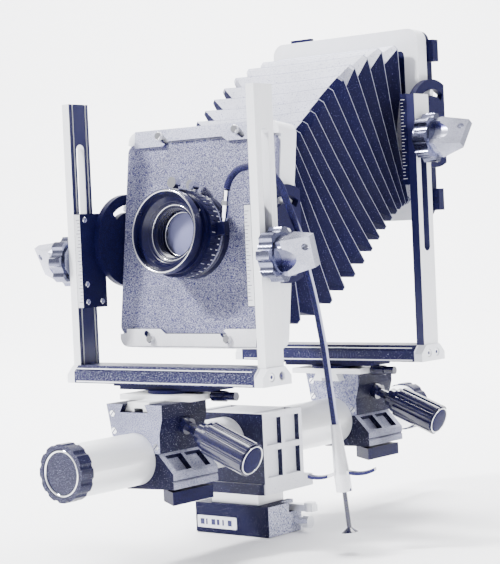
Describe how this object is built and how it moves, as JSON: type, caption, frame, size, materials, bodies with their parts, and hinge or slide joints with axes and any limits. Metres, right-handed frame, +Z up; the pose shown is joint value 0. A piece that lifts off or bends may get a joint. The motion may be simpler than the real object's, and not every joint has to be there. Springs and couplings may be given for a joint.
{
  "type": "view camera",
  "caption": "Monorail view camera with two tilting and rising standards, bag bellows, lens in leaf shutter and cable release, on a quick-release tripod shoe.",
  "frame": {"origin": "centre of the tripod thread at the underside of the quick-release shoe", "axes": "+Z up, +Y from the lens to the film, +X to the right seen from the front of the camera"},
  "size_m": [0.267, 0.416, 0.379],
  "materials": {
    "dark_paint": "navy-black crinkle paint",
    "satin_metal": "satin anodised",
    "light_paint": "light satin paint",
    "board_grey": "hammered mid grey",
    "bright_metal": "polished",
    "dark_plastic": "matt",
    "lens_black": "semi-gloss black",
    "glass": "coated",
    "ground": "ground",
    "bellows": "pleated",
    "cord": "braided"
  },
  "bodies": {
    "tripod_shoe": {"shoe_body": "dark_paint", "quick_release_plate": "satin_metal", "clamp_block": "light_paint", "clamp_pad": "dark_paint"},
    "shoe_clamp_lever": {"shoe_clamp_lever": "satin_metal"},
    "shoe_safety_pin": {"shoe_safety_pin": "bright_metal"},
    "clamp_knob": {"clamp_knob": "dark_paint"},
    "rail": {"rail_tube": "satin_metal", "rail_front_cap": "dark_paint", "rail_rear_cap": "dark_paint"},
    "front_carriage": {"front_carriage": "dark_paint", "front_carriage_jaw": "dark_paint"},
    "front_jaw_lever": {"front_jaw_lever": "dark_paint"},
    "front_focus_knob": {"front_focus_knob": "dark_plastic"},
    "front_slide": {"front_focus_slide": "dark_paint"},
    "front_turntable": {"front_turntable": "dark_paint"},
    "front_swing_knob": {"front_swing_knob": "dark_plastic"},
    "front_standard": {"front_base_bar": "satin_metal", "front_uprights": "satin_metal"},
    "front_slider": {"front_slider_plates": "dark_paint", "front_tilt_discs": "dark_paint", "cable": "cord", "cable_sleeve": "bright_metal"},
    "front_ring_left": {"front_ring_left": "satin_metal"},
    "front_ring_right": {"front_ring_right": "satin_metal"},
    "front_lever_left": {"front_lever_left": "dark_plastic"},
    "front_lever_right": {"front_lever_right": "dark_plastic"},
    "rear_carriage": {"rear_carriage": "dark_paint", "rear_carriage_jaw": "dark_paint"},
    "rear_jaw_lever": {"rear_jaw_lever": "dark_paint"},
    "rear_focus_knob": {"rear_focus_knob": "dark_plastic"},
    "rear_slide": {"rear_focus_slide": "dark_paint"},
    "rear_turntable": {"rear_turntable": "dark_paint"},
    "rear_swing_knob": {"rear_swing_knob": "dark_plastic"},
    "rear_standard": {"rear_base_bar": "satin_metal", "rear_uprights": "satin_metal"},
    "rear_slider": {"rear_slider_plates": "dark_paint", "rear_tilt_discs": "dark_paint"},
    "rear_ring_left": {"rear_ring_left": "satin_metal"},
    "rear_ring_right": {"rear_ring_right": "satin_metal"},
    "rear_lever_left": {"rear_lever_left": "dark_plastic"},
    "rear_lever_right": {"rear_lever_right": "dark_plastic"},
    "lens_frame": {"lens_frame": "light_paint", "lens_board": "board_grey", "shutter_body": "lens_black", "lens_front_barrel": "lens_black", "lens_glass": "glass", "lens_rear_barrel": "lens_black", "cable_ferrule": "bright_metal", "bellows": "bellows"},
    "board_latch_top": {"board_latch_top": "board_grey"},
    "board_latch_bottom": {"board_latch_bottom": "satin_metal"},
    "aperture_ring": {"aperture_ring": "bright_metal"},
    "speed_ring": {"speed_ring": "lens_black"},
    "cocking_lever": {"cocking_lever": "bright_metal"},
    "cable_plunger": {"cable_plunger": "dark_plastic"},
    "film_frame": {"film_frame": "light_paint", "film_back": "dark_paint"},
    "spring_back": {"ground_glass_frame": "dark_paint", "ground_glass": "ground"}
  },
  "joints": [
    {"name": "rail_slide", "type": "slide", "parent": "tripod_shoe", "child": "rail", "axis": [0, 1, 0], "range_m": [-0.03, 0.02]},
    {"name": "front_coarse", "type": "slide", "parent": "rail", "child": "front_carriage", "axis": [0, 1, 0], "range_m": [-0.055, 0.02]},
    {"name": "front_focus", "type": "slide", "parent": "front_carriage", "child": "front_slide", "axis": [0, 1, 0], "range_m": [-0.012, 0.012]},
    {"name": "front_swing", "type": "hinge", "parent": "front_slide", "child": "front_turntable", "pos_m": [0, -0.075, 0.113], "axis": [0, 0, 1], "range_deg": [-20, 20]},
    {"name": "front_shift", "type": "slide", "parent": "front_turntable", "child": "front_standard", "axis": [1, 0, 0], "range_m": [-0.025, 0.025]},
    {"name": "front_rise", "type": "slide", "parent": "front_standard", "child": "front_slider", "axis": [0, 0, 1], "range_m": [0, 0.081]},
    {"name": "front_tilt", "type": "hinge", "parent": "front_slider", "child": "lens_frame", "pos_m": [0, -0.037, 0.219], "axis": [1, 0, 0], "range_deg": [-22.6, 37.4], "deforming": ["bellows", "cable"]},
    {"name": "rear_coarse", "type": "slide", "parent": "rail", "child": "rear_carriage", "axis": [0, 1, 0], "range_m": [-0.035, 0.048]},
    {"name": "rear_focus", "type": "slide", "parent": "rear_carriage", "child": "rear_slide", "axis": [0, 1, 0], "range_m": [-0.012, 0.012]},
    {"name": "rear_swing", "type": "hinge", "parent": "rear_slide", "child": "rear_turntable", "pos_m": [0, 0.121, 0.113], "axis": [0, 0, 1], "range_deg": [-20, 20]},
    {"name": "rear_shift", "type": "slide", "parent": "rear_turntable", "child": "rear_standard", "axis": [1, 0, 0], "range_m": [-0.025, 0.025]},
    {"name": "rear_fall", "type": "slide", "parent": "rear_standard", "child": "rear_slider", "axis": [0, 0, 1], "range_m": [-0.081, 0]},
    {"name": "rear_tilt", "type": "hinge", "parent": "rear_slider", "child": "film_frame", "pos_m": [0, 0.159, 0.3], "axis": [1, 0, 0], "range_deg": [-30, 30]},
    {"name": "spring_back_open", "type": "slide", "parent": "film_frame", "child": "spring_back", "axis": [0, 1, 0], "range_m": [0, 0.014], "stiffness_N_per_m": 250, "springref_m": -0.01},
    {"name": "aperture_turn", "type": "hinge", "parent": "lens_frame", "child": "aperture_ring", "pos_m": [0, -0.04523, 0.22007], "axis": [0, -0.9917, 0.1288], "range_deg": [0, 60]},
    {"name": "speed_turn", "type": "hinge", "parent": "lens_frame", "child": "speed_ring", "pos_m": [0, -0.04523, 0.22007], "axis": [0, -0.9917, 0.1288], "range_deg": [-120, 120]},
    {"name": "cocking_turn", "type": "hinge", "parent": "lens_frame", "child": "cocking_lever", "pos_m": [0, -0.04523, 0.22007], "axis": [0, -0.9917, 0.1288], "range_deg": [0, 45], "stiffness_Nm_per_rad": 0.05, "springref_deg": -34.38},
    {"name": "plunger_press", "type": "slide", "parent": "front_slider", "child": "cable_plunger", "axis": [-0.089, -0.038, 0.9953], "range_m": [0, 0.006], "stiffness_N_per_m": 150, "springref_m": -0.006},
    {"name": "board_latch_top_slide", "type": "slide", "parent": "lens_frame", "child": "board_latch_top", "axis": [-0.7986, 0.0775, 0.5968], "range_m": [0, 0.007]},
    {"name": "board_latch_bottom_slide", "type": "slide", "parent": "lens_frame", "child": "board_latch_bottom", "axis": [0.7986, -0.0775, -0.5968], "range_m": [0, 0.007]},
    {"name": "clamp_knob_turn", "type": "hinge", "parent": "tripod_shoe", "child": "clamp_knob", "pos_m": [-0.035, 0.001, 0.069], "axis": [-1, 0, 0], "range_deg": [0, 180]},
    {"name": "shoe_lever_turn", "type": "hinge", "parent": "tripod_shoe", "child": "shoe_clamp_lever", "pos_m": [0.031, 0.013, 0.017], "axis": [0, 0, 1], "range_deg": [0, 80]},
    {"name": "shoe_pin_pull", "type": "slide", "parent": "tripod_shoe", "child": "shoe_safety_pin", "axis": [1, 0, 0], "range_m": [0, 0.006], "stiffness_N_per_m": 200, "springref_m": -0.004},
    {"name": "front_jaw_lever_turn", "type": "hinge", "parent": "front_carriage", "child": "front_jaw_lever", "pos_m": [0.014, -0.0965, 0.048], "axis": [0, 0, 1], "range_deg": [-60, 0]},
    {"name": "rear_jaw_lever_turn", "type": "hinge", "parent": "rear_carriage", "child": "rear_jaw_lever", "pos_m": [0.014, 0.1365, 0.048], "axis": [0, 0, 1], "range_deg": [-60, 0]},
    {"name": "front_swing_knob_turn", "type": "hinge", "parent": "front_slide", "child": "front_swing_knob", "pos_m": [0.038, -0.075, 0.10885], "axis": [1, 0, 0], "range_deg": [0, 180]},
    {"name": "rear_swing_knob_turn", "type": "hinge", "parent": "rear_slide", "child": "rear_swing_knob", "pos_m": [0.038, 0.121, 0.10885], "axis": [1, 0, 0], "range_deg": [0, 180]},
    {"name": "front_ring_right_turn", "type": "hinge", "parent": "front_slider", "child": "front_ring_right", "pos_m": [0.095, -0.075, 0.2055], "axis": [1, 0, 0], "range_deg": [0, 120]},
    {"name": "front_lever_right_turn", "type": "hinge", "parent": "front_slider", "child": "front_lever_right", "pos_m": [0.11, -0.075, 0.2055], "axis": [1, 0, 0], "range_deg": [0, 90]},
    {"name": "front_ring_left_turn", "type": "hinge", "parent": "front_slider", "child": "front_ring_left", "pos_m": [-0.095, -0.075, 0.2055], "axis": [-1, 0, 0], "range_deg": [0, 120]},
    {"name": "front_lever_left_turn", "type": "hinge", "parent": "front_slider", "child": "front_lever_left", "pos_m": [-0.11, -0.075, 0.2055], "axis": [-1, 0, 0], "range_deg": [0, 90]},
    {"name": "rear_ring_right_turn", "type": "hinge", "parent": "rear_slider", "child": "rear_ring_right", "pos_m": [0.095, 0.121, 0.2865], "axis": [1, 0, 0], "range_deg": [0, 120]},
    {"name": "rear_lever_right_turn", "type": "hinge", "parent": "rear_slider", "child": "rear_lever_right", "pos_m": [0.11, 0.121, 0.2865], "axis": [1, 0, 0], "range_deg": [0, 90]},
    {"name": "rear_ring_left_turn", "type": "hinge", "parent": "rear_slider", "child": "rear_ring_left", "pos_m": [-0.095, 0.121, 0.2865], "axis": [-1, 0, 0], "range_deg": [0, 120]},
    {"name": "rear_lever_left_turn", "type": "hinge", "parent": "rear_slider", "child": "rear_lever_left", "pos_m": [-0.11, 0.121, 0.2865], "axis": [-1, 0, 0], "range_deg": [0, 90]},
    {"name": "front_focus_knob_turn", "type": "hinge", "parent": "front_carriage", "child": "front_focus_knob", "pos_m": [0.021, -0.0965, 0.093], "axis": [0.9336, 0, -0.3584], "range_deg": [-200, 200]},
    {"name": "rear_focus_knob_turn", "type": "hinge", "parent": "rear_carriage", "child": "rear_focus_knob", "pos_m": [0.021, 0.1365, 0.093], "axis": [0.9336, 0, -0.3584], "range_deg": [-200, 200]}
  ],
  "couplings": [
    {"joint": "front_focus_knob_turn", "follows": "front_focus", "rad_per_m": 285.7},
    {"joint": "rear_focus_knob_turn", "follows": "rear_focus", "rad_per_m": 285.7}
  ]
}
